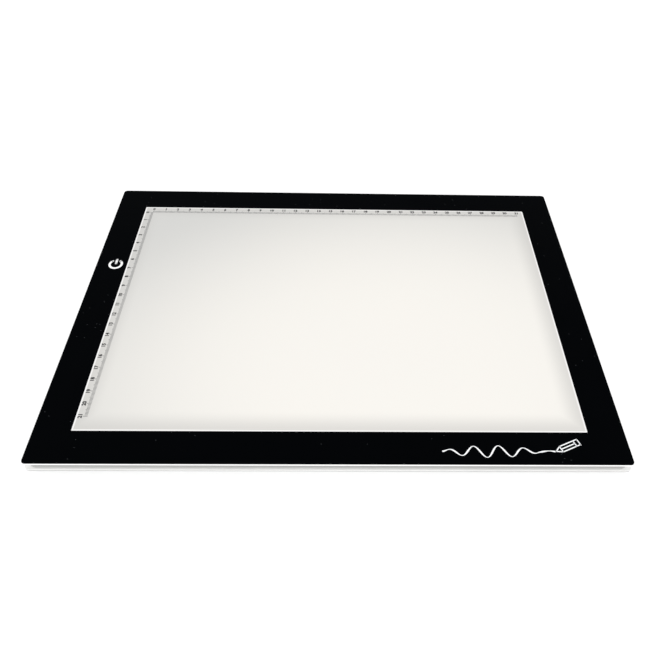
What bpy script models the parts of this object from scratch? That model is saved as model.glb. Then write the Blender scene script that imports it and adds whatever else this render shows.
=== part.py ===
"""A flat LED light box for tracing: an opal acrylic panel with a black border, edge-lit, on a thin base.

Metres, +Z up. The origin is on the table under the middle of the box, +X runs to the right along the
long side and +Y to the back. The power symbol's side is the left one, at -X.
"""

import math

import bmesh
import bpy
from mathutils import Matrix, Vector

MM = 0.001

# ---------------------------------------------------------------- driving dimensions
WIDTH = 370 * MM
DEPTH = 275 * MM
HEIGHT = 9 * MM
CORNER_RADIUS = 3 * MM

WINDOW_WIDTH = 323 * MM
WINDOW_DEPTH = 228 * MM
WINDOW_CORNER_RADIUS = 0.5 * MM

CLEARANCE = 0.3 * MM  # between pieces that touch side by side
BOND_LINE = 0.1 * MM  # the glue or air between stacked sheets
PAST = 1 * MM  # how far a cutter runs past the faces that it cuts, and a joined block into its piece
WELD_DISTANCE = 0.001 * MM

FOOT_STAND_OFF = 1.1 * MM  # how far the feet hold the cover off the table
COVER_THICKNESS = 1.3 * MM
FRAME_HEIGHT = 4.5 * MM
FRAME_INSET = 1 * MM  # the frame stands back from the edges of the panel and the cover
FRAME_CORNER_RADIUS = 7 * MM
FRAME_WALL = 2.5 * MM
TAPE_THICKNESS = 0.2 * MM
TAPE_WIDTH = 6 * MM
TAPE_INSET = 2 * MM  # from the frame's outer edge, from the bay and between two tapes' ends
OVERLAY_THICKNESS = 0.25 * MM

GUIDE_THICKNESS = 3.5 * MM
GUIDE_OVERLAP = 4 * MM  # how far the light guide runs past the window on each side
REFLECTOR_THICKNESS = 0.2 * MM
DIFFUSER_THICKNESS = 0.3 * MM

# ---------------------------------------------------------------- levels, from the table up
COVER_BOTTOM = FOOT_STAND_OFF
COVER_TOP = COVER_BOTTOM + COVER_THICKNESS
FRAME_BOTTOM = COVER_TOP + BOND_LINE
FRAME_TOP = FRAME_BOTTOM + FRAME_HEIGHT
TAPE_BOTTOM = FRAME_TOP + BOND_LINE
PANEL_BOTTOM = TAPE_BOTTOM + TAPE_THICKNESS + BOND_LINE
OVERLAY_BOTTOM = HEIGHT - OVERLAY_THICKNESS
PANEL_REBATE = OVERLAY_BOTTOM - BOND_LINE  # the panel's border, let down to take the overlay
REFLECTOR_BOTTOM = FRAME_BOTTOM
GUIDE_BOTTOM = REFLECTOR_BOTTOM + REFLECTOR_THICKNESS + BOND_LINE
GUIDE_TOP = GUIDE_BOTTOM + GUIDE_THICKNESS
DIFFUSER_BOTTOM = GUIDE_TOP + BOND_LINE

# ---------------------------------------------------------------- places in plan
GUIDE_WIDTH = WINDOW_WIDTH + 2 * GUIDE_OVERLAP
GUIDE_DEPTH = WINDOW_DEPTH + 2 * GUIDE_OVERLAP
FRAME_OUTER_X = WIDTH / 2 - FRAME_INSET
FRAME_OUTER_Y = DEPTH / 2 - FRAME_INSET

LED_COUNT = 32
LED_PITCH = 10 * MM
LED_SIZE = Vector((3 * MM, 0.9 * MM, 1.6 * MM))
LED_TO_GUIDE = 0.4 * MM
STRIP_LENGTH = 324 * MM
STRIP_THICKNESS = 0.8 * MM
STRIP_HEIGHT = 3 * MM
STRIP_FACE_Y = GUIDE_DEPTH / 2 + LED_TO_GUIDE + LED_SIZE.y
STRIP_BACK_Y = STRIP_FACE_Y + STRIP_THICKNESS
FRAME_INNER_Y = STRIP_BACK_Y + CLEARANCE
SIDE_CHANNEL = 2 * MM  # the wires run in it, between the light guide and a side rail
FRAME_INNER_X = GUIDE_WIDTH / 2 + SIDE_CHANNEL

# The electronics bay is a notch in the left rail, open towards the light guide.
BAY_FRONT_Y = 8 * MM
BAY_BACK_Y = 116 * MM
BAY_WALL_X = -(FRAME_OUTER_X - FRAME_WALL)
POWER_KEY_X = -WIDTH / 2 + 14.7 * MM
POWER_KEY_Y = DEPTH / 2 - 96.8 * MM

BOARD_THICKNESS = 1 * MM
BOARD_LEFT_X = BAY_WALL_X + CLEARANCE
BOARD_RIGHT_X = -(GUIDE_WIDTH / 2 + 1 * MM)
BOARD_FRONT_Y = BAY_FRONT_Y + 3 * MM
BOARD_BACK_Y = BAY_BACK_Y - 5 * MM
BOARD_BOTTOM = COVER_TOP + CLEARANCE
BOARD_TOP = BOARD_BOTTOM + BOARD_THICKNESS
PART_LIFT = BOARD_TOP + BOND_LINE  # the solder under a part on the board
BOARD_MIDDLE_X = (BOARD_LEFT_X + BOARD_RIGHT_X) / 2
SOCKET_X = BOARD_RIGHT_X - 3 * MM

# Each part on the board: its middle's x and y, its size along x, y and z in millimetres, its material.
BOARD_PARTS = {
    "touch_chip": (BOARD_MIDDLE_X - 2.5 * MM, 54 * MM, (4, 5, 1.5), "black_part"),
    "driver_chip": (BOARD_MIDDLE_X, 70 * MM, (4, 5, 1.5), "black_part"),
    "driver_inductor": (BOARD_MIDDLE_X, 80 * MM, (6, 6, 2), "ferrite"),
    "input_capacitor": (SOCKET_X, 88.5 * MM, (2.8, 3.5, 1.9), "capacitor"),
    "output_capacitor": (BOARD_MIDDLE_X, 62 * MM, (3.5, 2.8, 1.9), "capacitor"),
    "back_strip_socket": (SOCKET_X, 105 * MM, (4, 4.5, 2.1), "connector"),
    "front_strip_socket": (SOCKET_X, 17 * MM, (4, 4.5, 2.1), "connector"),
}
PART_EDGE = 0.15 * MM
INDUCTOR_EDGE = 0.6 * MM

JACK_Y = 95 * MM
JACK_LENGTH = 11 * MM
JACK_WIDTH = 6 * MM
JACK_HEIGHT = 3.3 * MM
JACK_BOTTOM = COVER_TOP + BOND_LINE
JACK_AXIS_Z = JACK_BOTTOM + JACK_HEIGHT / 2
JACK_FRONT_X = -FRAME_OUTER_X
JACK_BORE_RADIUS = 1.25 * MM
JACK_BORE_DEPTH = 8.5 * MM
JACK_PIN_RADIUS = 0.35 * MM
JACK_PIN_SETBACK = 1.2 * MM
JACK_PIN_TAIL = 0.4 * MM  # how far the pin comes out of the jack's back
JACK_SLOT_HEIGHT = 1.6 * MM
JACK_SLOT_MARGIN = 0.5 * MM  # from either end of the contact to the slot's end
CONTACT_HEIGHT = 1 * MM
CONTACT_THICKNESS = 0.2 * MM
CONTACT_ROOT_X = JACK_FRONT_X + 8 * MM
CONTACT_TIP_X = JACK_FRONT_X + 1.6 * MM
CONTACT_Y = JACK_Y + 1.75 * MM
CONTACT_BUMP = 0.7 * MM  # how far its bend reaches towards the plug
CONTACT_BEND = 0.3  # where the bend is, as a share of the way from tip to root
CONTACT_RAMP = 1.2 * MM  # from the bend to where the leaf runs straight
CONTACT_LIP = 0.1 * MM  # how far the tip stands away from the plug

FOOT_RADIUS = 6 * MM
FOOT_TOP = COVER_BOTTOM + 0.3 * MM
FOOT_RECESS = 0.4 * MM
FOOT_PLACES = [(x * MM, y * MM) for y in (-108, 108) for x in (-150, 0, 150)]

SCREW_HEAD_RADIUS = 1.9 * MM
SCREW_SHANK_RADIUS = 1 * MM
SCREW_HEAD_HEIGHT = 0.9 * MM
SCREW_LENGTH = 4.4 * MM
SCREW_CLEARANCE = 0.15 * MM
SCREW_SIDES = 16
SCREW_SLOT_WIDTH = 0.55 * MM
SCREW_SLOT_REACH = 1.15 * MM
SCREW_SLOT_DEPTH = 0.55 * MM
SCREW_PLACES = [(x * MM, y * MM) for y in (-129, 129) for x in (-176, 0, 176)]
SCREW_PLACES += [(-176 * MM, 0), (176 * MM, 0)]

WIRE_RADIUS = 0.45 * MM
LEAD_STEP = 2.5 * MM
LEAD_UPPER_Z = GUIDE_BOTTOM + 2.3 * MM
LEAD_LOWER_Z = GUIDE_BOTTOM + 0.8 * MM
PLUG_Z = PART_LIFT + 1 * MM
PIN_PITCH = 1.8 * MM  # between the two pins of a socket

SPRING_WIRE_RADIUS = 0.2 * MM
SPRING_COIL_RADIUS = 2.6 * MM
SPRING_TURNS = 3.5
SPRING_POINTS_A_TURN = 12

ROUND_SIDES = 24
CORNER_STEPS = 6
EPSILON = 1e-9

# ---------------------------------------------------------------- colours: base colour, roughness, metallic
FINISHES = {
    "black_print": ((0.006, 0.008, 0.010), 0.35, 0.0),
    "opal_acrylic": ((0.86, 0.86, 0.83), 0.25, 0.0),
    "white_plastic": ((0.80, 0.80, 0.78), 0.45, 0.0),
    "white_sheet": ((0.92, 0.92, 0.92), 0.50, 0.0),
    "clear_acrylic": ((0.85, 0.92, 0.92), 0.05, 0.0),
    "tape": ((0.70, 0.68, 0.62), 0.80, 0.0),
    "strip_board": ((0.85, 0.85, 0.80), 0.50, 0.0),
    "green_board": ((0.03, 0.20, 0.09), 0.40, 0.0),
    "black_part": ((0.03, 0.03, 0.03), 0.50, 0.0),
    "ferrite": ((0.12, 0.12, 0.13), 0.60, 0.0),
    "capacitor": ((0.55, 0.40, 0.18), 0.50, 0.0),
    "connector": ((0.85, 0.83, 0.74), 0.50, 0.0),
    "spring_metal": ((0.75, 0.72, 0.62), 0.25, 1.0),
    "screw_metal": ((0.62, 0.62, 0.64), 0.30, 1.0),
    "red_wire": ((0.55, 0.03, 0.03), 0.50, 0.0),
    "black_wire": ((0.02, 0.02, 0.02), 0.50, 0.0),
    "rubber": ((0.35, 0.35, 0.36), 0.90, 0.0),
}


def clear_scene():
    for old in list(bpy.data.objects):
        bpy.data.objects.remove(old)


def new_collection(name):
    made = bpy.data.collections.new(name)
    bpy.context.scene.collection.children.link(made)
    return made


def finish(name):
    """The material of that name, made once."""
    made = bpy.data.materials.get(name)
    if made is None:
        colour, roughness, metallic = FINISHES[name]
        made = bpy.data.materials.new(name)
        made.use_nodes = True
        shader = made.node_tree.nodes["Principled BSDF"]
        shader.inputs["Base Color"].default_value = (*colour, 1)
        shader.inputs["Roughness"].default_value = roughness
        shader.inputs["Metallic"].default_value = metallic
        made.diffuse_color = (*colour, 1)
    return made


def add_object(name, data, material=None):
    """A new object in the parts' collection, or among the cutters if it has no material."""
    made = bpy.data.objects.new(name, data)
    if material:
        parts.objects.link(made)
        data.materials.append(finish(material))
    else:
        cutters.objects.link(made)
        made.hide_render = True
        made.display_type = "WIRE"
    return made


def mesh_object(name, build, material=None):
    """An object whose mesh the function build fills, through bmesh."""
    mesh = bpy.data.meshes.new(name)
    shape = bmesh.new()
    build(shape)
    shape.to_mesh(mesh)
    shape.free()
    return add_object(name, mesh, material)


def box(name, low, high, material=None):
    """A box from its lowest to its highest corner."""
    low, high = Vector(low), Vector(high)

    def build(shape):
        to_size = Matrix.Diagonal((*(high - low), 1))
        bmesh.ops.create_cube(shape, size=1, matrix=Matrix.Translation((low + high) / 2) @ to_size)

    return mesh_object(name, build, material)


def cylinder(name, centre, radius, z_low, z_high, material=None, top_radius=None):
    """An upright cylinder, or a cone frustum if top_radius is given."""
    place = Matrix.Translation((centre[0], centre[1], (z_low + z_high) / 2))
    top = radius if top_radius is None else top_radius
    return turned(name, place, radius, top, z_high - z_low, material)


def cylinder_along_x(name, x_low, x_high, y, z, radius, material=None):
    place = Matrix.Translation(((x_low + x_high) / 2, y, z)) @ Matrix.Rotation(math.pi / 2, 4, "Y")
    return turned(name, place, radius, radius, x_high - x_low, material)


def turned(name, place, radius, top_radius, length, material):
    """A round piece about its own Z axis, put in place by a matrix and shaded smooth round its side."""

    def build(shape):
        bmesh.ops.create_cone(
            shape,
            cap_ends=True,
            segments=ROUND_SIDES,
            radius1=radius,
            radius2=top_radius,
            depth=length,
            matrix=place,
        )
        for face in shape.faces:
            face.smooth = len(face.verts) == 4

    return mesh_object(name, build, material)


def rounded_outline(low, high, radii):
    """Points of a rectangle, anticlockwise from its low corner. radii are its corners' in that order."""
    corners = (
        (low[0], low[1], 1, 1, math.pi),
        (high[0], low[1], -1, 1, 1.5 * math.pi),
        (high[0], high[1], -1, -1, 0),
        (low[0], high[1], 1, -1, 0.5 * math.pi),
    )
    points = []
    for (x, y, inward_x, inward_y, start), radius in zip(corners, radii):
        if radius < EPSILON:
            points.append((x, y))
            continue
        centre = (x + inward_x * radius, y + inward_y * radius)
        for i in range(CORNER_STEPS + 1):
            turn = start + i / CORNER_STEPS * math.pi / 2
            points.append((centre[0] + radius * math.cos(turn), centre[1] + radius * math.sin(turn)))
    return points


def extruded(name, outlines, z_low, z_high, material=None):
    """A plate from flat outlines, the first its edge and any other a hole, as a welded mesh."""
    curve = bpy.data.curves.new(name, "CURVE")
    curve.dimensions = "2D"
    curve.fill_mode = "BOTH"
    curve.extrude = (z_high - z_low) / 2
    for outline in outlines:
        spline = curve.splines.new("POLY")
        spline.points.add(len(outline) - 1)
        for point, (x, y) in zip(spline.points, outline):
            point.co = (x, y, 0, 1)
        spline.use_cyclic_u = True
    drawn = bpy.data.objects.new(name + "_outline", curve)
    cutters.objects.link(drawn)
    bpy.context.view_layer.update()
    mesh = bpy.data.meshes.new_from_object(drawn.evaluated_get(bpy.context.evaluated_depsgraph_get()))
    bpy.data.objects.remove(drawn)
    mesh.name = name
    shape = bmesh.new()
    shape.from_mesh(mesh)
    bmesh.ops.remove_doubles(shape, verts=shape.verts, dist=WELD_DISTANCE)
    bmesh.ops.translate(shape, verts=shape.verts, vec=(0, 0, (z_low + z_high) / 2))
    bmesh.ops.recalc_face_normals(shape, faces=shape.faces)
    shape.to_mesh(mesh)
    shape.free()
    mesh.materials.clear()
    return add_object(name, mesh, material)


def centred_outline(width, depth, radius):
    return rounded_outline((-width / 2, -depth / 2), (width / 2, depth / 2), [radius] * 4)


def combine(target, tool, operation):
    """Cuts the tool from the target, or joins it to it."""
    modifier = target.modifiers.new(operation.title() + " " + tool.name, "BOOLEAN")
    modifier.operation = operation
    modifier.solver = "EXACT"
    modifier.object = tool


def cut(target, tool):
    combine(target, tool, "DIFFERENCE")


def join(target, tool):
    combine(target, tool, "UNION")


def merged(name, tools):
    """One cutter or tool made of several that don't touch."""
    shape = bmesh.new()
    for tool in tools:
        shape.from_mesh(tool.data)
        bpy.data.objects.remove(tool)
    mesh = bpy.data.meshes.new(name)
    shape.to_mesh(mesh)
    shape.free()
    return add_object(name, mesh)


# ---------------------------------------------------------------- the panel and what lies under it


def make_top_panel():
    """The opal sheet: its border is let down by the overlay's thickness, so that the top is flush."""
    panel = extruded(
        "top_panel",
        [centred_outline(WIDTH, DEPTH, CORNER_RADIUS)],
        PANEL_BOTTOM,
        PANEL_REBATE,
        "opal_acrylic",
    )
    width, depth = WINDOW_WIDTH - 2 * CLEARANCE, WINDOW_DEPTH - 2 * CLEARANCE
    window = centred_outline(width, depth, WINDOW_CORNER_RADIUS)
    raised = extruded("window_raise", [window], PANEL_REBATE - PAST, HEIGHT)
    join(panel, raised)


def make_border_overlay():
    extruded(
        "border_overlay",
        [
            centred_outline(WIDTH, DEPTH, CORNER_RADIUS),
            centred_outline(WINDOW_WIDTH, WINDOW_DEPTH, WINDOW_CORNER_RADIUS),
        ],
        OVERLAY_BOTTOM,
        HEIGHT,
        "black_print",
    )


def make_tapes():
    """Four strips of double-sided tape hold the panel on the frame."""
    outer_x = FRAME_OUTER_X - TAPE_INSET
    outer_y = FRAME_OUTER_Y - TAPE_INSET
    long_x = outer_x - FRAME_CORNER_RADIUS
    short_y = outer_y - TAPE_WIDTH - TAPE_INSET
    spans = {
        "tape_back": ((-long_x, outer_y - TAPE_WIDTH), (long_x, outer_y)),
        "tape_front": ((-long_x, -outer_y), (long_x, -outer_y + TAPE_WIDTH)),
        "tape_right": ((outer_x - TAPE_WIDTH, -short_y), (outer_x, short_y)),
        "tape_left": ((-outer_x, -short_y), (-outer_x + TAPE_WIDTH, BAY_FRONT_Y - TAPE_INSET)),
    }
    for name, (low, high) in spans.items():
        box(name, (*low, TAPE_BOTTOM), (*high, TAPE_BOTTOM + TAPE_THICKNESS), "tape")


def make_sheets():
    """The reflector, the light guide and the diffuser, a stack of one size."""
    sheets = (
        ("reflector_sheet", REFLECTOR_BOTTOM, REFLECTOR_THICKNESS, "white_sheet"),
        ("light_guide_plate", GUIDE_BOTTOM, GUIDE_THICKNESS, "clear_acrylic"),
        ("diffuser_sheet", DIFFUSER_BOTTOM, DIFFUSER_THICKNESS, "white_sheet"),
    )
    half = Vector((GUIDE_WIDTH / 2, GUIDE_DEPTH / 2))
    for name, bottom, thickness, material in sheets:
        box(name, (-half.x, -half.y, bottom), (half.x, half.y, bottom + thickness), material)


def make_led_strip(name, side):
    """A narrow board on edge, its LEDs facing the light guide. side is 1 at the back, -1 at the front."""
    middle_z = GUIDE_BOTTOM + GUIDE_THICKNESS / 2
    y_ends = sorted((side * STRIP_FACE_Y, side * STRIP_BACK_Y))
    strip = box(
        name,
        (-STRIP_LENGTH / 2, y_ends[0], middle_z - STRIP_HEIGHT / 2),
        (STRIP_LENGTH / 2, y_ends[1], middle_z + STRIP_HEIGHT / 2),
        "strip_board",
    )
    root = STRIP_THICKNESS / 2  # how far an LED's block reaches into the board that it joins
    y_low, y_high = sorted((side * (STRIP_FACE_Y - LED_SIZE.y), side * (STRIP_FACE_Y + root)))
    leds = []
    for i in range(LED_COUNT):
        x = (i - (LED_COUNT - 1) / 2) * LED_PITCH
        low = (x - LED_SIZE.x / 2, y_low, middle_z - LED_SIZE.z / 2)
        high = (x + LED_SIZE.x / 2, y_high, middle_z + LED_SIZE.z / 2)
        leds.append(box(f"{name}_led_{i}", low, high))
    join(strip, merged(name + "_leds", leds))


# ---------------------------------------------------------------- the frame and the cover


def make_frame():
    """Four rails. The long ones run the full width, with rounded ends; the short ones stand between them."""
    radius = FRAME_CORNER_RADIUS
    end_y = FRAME_INNER_Y - CLEARANCE
    plans = {
        "frame_rail_back": (
            (-FRAME_OUTER_X, FRAME_INNER_Y),
            (FRAME_OUTER_X, FRAME_OUTER_Y),
            (0, 0, radius, radius),
        ),
        "frame_rail_front": (
            (-FRAME_OUTER_X, -FRAME_OUTER_Y),
            (FRAME_OUTER_X, -FRAME_INNER_Y),
            (radius, radius, 0, 0),
        ),
        "frame_rail_right": ((FRAME_INNER_X, -end_y), (FRAME_OUTER_X, end_y), (0, 0, 0, 0)),
        "frame_rail_left": ((-FRAME_OUTER_X, -end_y), (-FRAME_INNER_X, end_y), (0, 0, 0, 0)),
    }
    for name, (low, high, radii) in plans.items():
        outline = rounded_outline(low, high, radii)
        rail = extruded(name, [outline], FRAME_BOTTOM, FRAME_TOP, "white_plastic")
        if name == "frame_rail_left":
            open_for_electronics(rail)
        places = [place for place in SCREW_PLACES if inside(place, low, high)]
        cut(rail, pilot_holes(name, places))


def inside(place, low, high):
    return low[0] < place[0] < high[0] and low[1] < place[1] < high[1]


def open_for_electronics(rail):
    """Cuts the bay and the jack's mouth from the left rail."""
    cut(
        rail,
        box(
            "bay_notch",
            (BAY_WALL_X, BAY_FRONT_Y, FRAME_BOTTOM - PAST),
            (-FRAME_INNER_X + PAST, BAY_BACK_Y, FRAME_TOP + PAST),
        ),
    )
    half_mouth = JACK_WIDTH / 2 + CLEARANCE
    cut(
        rail,
        box(
            "jack_mouth",
            (-FRAME_OUTER_X - PAST, JACK_Y - half_mouth, FRAME_BOTTOM - PAST),
            (BAY_WALL_X + PAST, JACK_Y + half_mouth, FRAME_BOTTOM + JACK_HEIGHT + BOND_LINE),
        ),
    )


def pilot_holes(name, places):
    """The blind holes that the screws bite in, a little wider than a screw."""
    holes = [
        cylinder(
            f"{name}_pilot_{i}",
            place,
            SCREW_SHANK_RADIUS + SCREW_CLEARANCE,
            FRAME_BOTTOM - PAST,
            COVER_BOTTOM + SCREW_LENGTH + 2 * SCREW_CLEARANCE,
        )
        for i, place in enumerate(places)
    ]
    return merged(name + "_pilots", holes)


def make_bottom_cover():
    cover = extruded(
        "bottom_cover",
        [centred_outline(WIDTH, DEPTH, CORNER_RADIUS)],
        COVER_BOTTOM,
        COVER_TOP,
        "white_plastic",
    )
    recesses = [
        cylinder(
            f"foot_recess_{i}",
            place,
            FOOT_RADIUS + CLEARANCE,
            COVER_BOTTOM - PAST,
            COVER_BOTTOM + FOOT_RECESS,
        )
        for i, place in enumerate(FOOT_PLACES)
    ]
    cut(cover, merged("foot_recesses", recesses))
    # The countersink keeps its slope down past the cover's face, so that it cuts cleanly.
    slope = (SCREW_HEAD_RADIUS - SCREW_SHANK_RADIUS) / SCREW_HEAD_HEIGHT
    below = 0.5 * MM
    wide = SCREW_HEAD_RADIUS + SCREW_CLEARANCE
    cones, holes = [], []
    for i, place in enumerate(SCREW_PLACES):
        cones.append(
            cylinder(
                f"countersink_{i}",
                place,
                wide + slope * below,
                COVER_BOTTOM - below,
                COVER_BOTTOM + SCREW_HEAD_HEIGHT,
                top_radius=wide - slope * SCREW_HEAD_HEIGHT,
            )
        )
        holes.append(
            cylinder(
                f"screw_hole_{i}",
                place,
                SCREW_SHANK_RADIUS + 2 * SCREW_CLEARANCE,
                COVER_BOTTOM + SCREW_HEAD_HEIGHT / 2,
                COVER_TOP + PAST,
            )
        )
    cut(cover, merged("countersinks", cones))
    cut(cover, merged("screw_holes", holes))


def make_feet():
    """Round rubber pads with a softened lower edge, stuck in the cover's recesses."""
    soft_edge = 0.3 * MM
    for i, (x, y) in enumerate(FOOT_PLACES):
        foot = cylinder(f"rubber_foot_{i + 1}", (x, y), FOOT_RADIUS, 0, FOOT_TOP, "rubber")
        bevel = foot.modifiers.new("Soft edge", "BEVEL")
        bevel.width = soft_edge
        bevel.segments = 2
        bevel.limit_method = "ANGLE"


def screw_profile():
    """Half the section of a countersunk screw, from the axis at its head round to the axis at its tip."""
    tip = 0.5 * MM
    return [
        (0, 0),
        (SCREW_HEAD_RADIUS, 0),
        (SCREW_SHANK_RADIUS, SCREW_HEAD_HEIGHT),
        (SCREW_SHANK_RADIUS, SCREW_LENGTH - tip),
        (0.4 * SCREW_SHANK_RADIUS, SCREW_LENGTH),
        (0, SCREW_LENGTH),
    ]


def make_screws():
    """Countersunk screws with a cross recess, put in from below."""

    def build(shape):
        rings = []
        for radius, z in screw_profile():
            if radius < EPSILON:
                rings.append([shape.verts.new((0, 0, z))])
                continue
            turns = [2 * math.pi * i / SCREW_SIDES for i in range(SCREW_SIDES)]
            rings.append([shape.verts.new((radius * math.cos(t), radius * math.sin(t), z)) for t in turns])
        for lower, upper in zip(rings, rings[1:]):
            for i in range(SCREW_SIDES):
                j = (i + 1) % SCREW_SIDES
                low_pair = [lower[i % len(lower)], lower[j % len(lower)]]
                high_pair = [upper[j % len(upper)], upper[i % len(upper)]]
                face = shape.faces.new(list(dict.fromkeys(low_pair + high_pair)))
                face.smooth = len(face.verts) == 4
        bmesh.ops.recalc_face_normals(shape, faces=shape.faces)

    reach, half = SCREW_SLOT_REACH, SCREW_SLOT_WIDTH / 2
    cross = [
        box("slot_a", (-reach, -half, -PAST), (reach, half, SCREW_SLOT_DEPTH)),
        box("slot_b", (-half, -reach, -PAST), (half, reach, SCREW_SLOT_DEPTH)),
    ]
    first = mesh_object("cover_screw_1", build, "screw_metal")
    for slot in cross:
        cut(first, slot)
    bpy.context.view_layer.update()
    shared = bpy.data.meshes.new_from_object(first.evaluated_get(bpy.context.evaluated_depsgraph_get()))
    bpy.data.objects.remove(first)
    for slot in cross:
        bpy.data.objects.remove(slot)
    shared.name = "cover_screw"
    for i, (x, y) in enumerate(SCREW_PLACES):
        screw = bpy.data.objects.new(f"cover_screw_{i + 1}", shared)
        parts.objects.link(screw)
        screw.location = (x, y, COVER_BOTTOM)


# ---------------------------------------------------------------- the electronics


def make_board():
    """The control board, with a notch where the jack sits in it."""
    board = box(
        "control_board",
        (BOARD_LEFT_X, BOARD_FRONT_Y, BOARD_BOTTOM),
        (BOARD_RIGHT_X, BOARD_BACK_Y, BOARD_TOP),
        "green_board",
    )
    half = JACK_WIDTH / 2 + CLEARANCE
    cut(
        board,
        box(
            "board_notch",
            (BOARD_LEFT_X - PAST, JACK_Y - half, BOARD_BOTTOM - PAST),
            (JACK_FRONT_X + JACK_LENGTH + CLEARANCE, JACK_Y + half, BOARD_TOP + PAST),
        ),
    )


def make_board_parts():
    """The parts on the board, each a block with softened edges."""
    for name, (x, y, size, material) in BOARD_PARTS.items():
        width, depth, height = (s * MM for s in size)
        low = (x - width / 2, y - depth / 2, PART_LIFT)
        high = (x + width / 2, y + depth / 2, PART_LIFT + height)
        part = box(name, low, high, material)
        bevel = part.modifiers.new("Soft edges", "BEVEL")
        bevel.width = INDUCTOR_EDGE if name == "driver_inductor" else PART_EDGE
        bevel.segments = 1
        bevel.limit_method = "ANGLE"


def smooth_route(points, step):
    """Points about step apart on a smooth curve through the given ones, by Catmull-Rom."""
    ends = [2 * points[0] - points[1], *points, 2 * points[-1] - points[-2]]
    route = []
    for before, start, end, after in zip(ends, ends[1:], ends[2:], ends[3:]):
        pieces = max(1, round((end - start).length / step))
        for i in range(pieces):
            t = i / pieces
            route.append(
                0.5
                * (
                    2 * start
                    + (end - before) * t
                    + (2 * before - 5 * start + 4 * end - after) * t**2
                    + (3 * start - before - 3 * end + after) * t**3
                )
            )
    return [*route, points[-1]]


def tube(name, points, radius, material):
    """A round wire along the points, with closed ends."""
    curve = bpy.data.curves.new(name, "CURVE")
    curve.dimensions = "3D"
    curve.bevel_depth = radius
    curve.bevel_resolution = 2
    curve.use_fill_caps = True
    spline = curve.splines.new("POLY")
    spline.points.add(len(points) - 1)
    for point, place in zip(spline.points, points):
        point.co = (*place, 1)
    spline.use_smooth = True
    return add_object(name, curve, material)


def make_touch_spring():
    """The coil that carries the touch key's field from the board up to the panel, under the power symbol."""
    low = BOARD_TOP + CLEARANCE + SPRING_WIRE_RADIUS
    high = PANEL_BOTTOM - CLEARANCE - SPRING_WIRE_RADIUS
    count = round(SPRING_TURNS * SPRING_POINTS_A_TURN)
    points = []
    for i in range(count + 1):
        turn = 2 * math.pi * i / SPRING_POINTS_A_TURN
        x = POWER_KEY_X + SPRING_COIL_RADIUS * math.cos(turn)
        y = POWER_KEY_Y + SPRING_COIL_RADIUS * math.sin(turn)
        points.append(Vector((x, y, low + (high - low) * i / count)))
    tube("touch_spring", points, SPRING_WIRE_RADIUS, "spring_metal")


def make_leads():
    """A red and a black wire from the board to each strip. The front pair runs down the guide's channel."""
    channel_x = -(GUIDE_WIDTH / 2 + SIDE_CHANNEL / 2)
    strip_x = -STRIP_LENGTH / 2 - CLEARANCE - WIRE_RADIUS
    strip_y = 119.5 * MM
    turn_y = strip_y - 0.7 * MM
    near_x, far_x = channel_x + 0.3 * MM, channel_x + 1.7 * MM  # the bend round the guide's corner
    for colour, z, side in (("red", LEAD_UPPER_Z, -1), ("black", LEAD_LOWER_Z, 1)):
        start_x = SOCKET_X + side * PIN_PITCH / 2
        back = [
            (start_x, 107.8 * MM, PLUG_Z),
            (start_x, 111 * MM, PLUG_Z),
            (channel_x - 0.2 * MM, 113.8 * MM, z),
            (channel_x, 116.5 * MM, z),
            (near_x, turn_y, z),
            (far_x, strip_y, z),
            (strip_x, strip_y, z),
        ]
        front = [
            (start_x, 14.2 * MM, PLUG_Z),
            (start_x + 0.2 * MM, 12.2 * MM, PLUG_Z),
            (channel_x - 0.4 * MM, 8.5 * MM, z),
            (channel_x, 5 * MM, z),
            (channel_x, -40 * MM, z),
            (channel_x, -80 * MM, z),
            (channel_x, -112 * MM, z),
            (channel_x, -116.5 * MM, z),
            (near_x, -turn_y, z),
            (far_x, -strip_y, z),
            (strip_x, -strip_y, z),
        ]
        for end, corners in (("back", back), ("front", front)):
            route = smooth_route([Vector(corner) for corner in corners], LEAD_STEP)
            tube(f"{colour}_lead_{end}", route, WIRE_RADIUS, f"{colour}_wire")


# ---------------------------------------------------------------- the power jack


def make_jack():
    """A low barrel jack: its body, its centre pin and the sprung contact that a plug pushes aside."""
    half = JACK_WIDTH / 2
    body = box(
        "jack_body",
        (JACK_FRONT_X, JACK_Y - half, JACK_BOTTOM),
        (JACK_FRONT_X + JACK_LENGTH, JACK_Y + half, JACK_BOTTOM + JACK_HEIGHT),
        "black_part",
    )
    bore_end = JACK_FRONT_X + JACK_BORE_DEPTH
    back = JACK_FRONT_X + JACK_LENGTH
    on_axis = (JACK_Y, JACK_AXIS_Z)
    pin_hole = JACK_PIN_RADIUS + CLEARANCE / 2
    cut(body, cylinder_along_x("jack_bore", JACK_FRONT_X - PAST, bore_end, *on_axis, JACK_BORE_RADIUS))
    cut(body, cylinder_along_x("pin_hole", bore_end - PAST, back + PAST, *on_axis, pin_hole))
    cut(
        body,
        box(
            "contact_slot",
            (CONTACT_TIP_X - JACK_SLOT_MARGIN, JACK_Y, JACK_AXIS_Z - JACK_SLOT_HEIGHT / 2),
            (CONTACT_ROOT_X + JACK_SLOT_MARGIN, JACK_Y + half + PAST, JACK_AXIS_Z + JACK_SLOT_HEIGHT / 2),
        ),
    )
    cylinder_along_x(
        "jack_centre_pin",
        JACK_FRONT_X + JACK_PIN_SETBACK,
        back + JACK_PIN_TAIL,
        *on_axis,
        JACK_PIN_RADIUS,
        "spring_metal",
    )
    make_sprung_contact()


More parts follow.
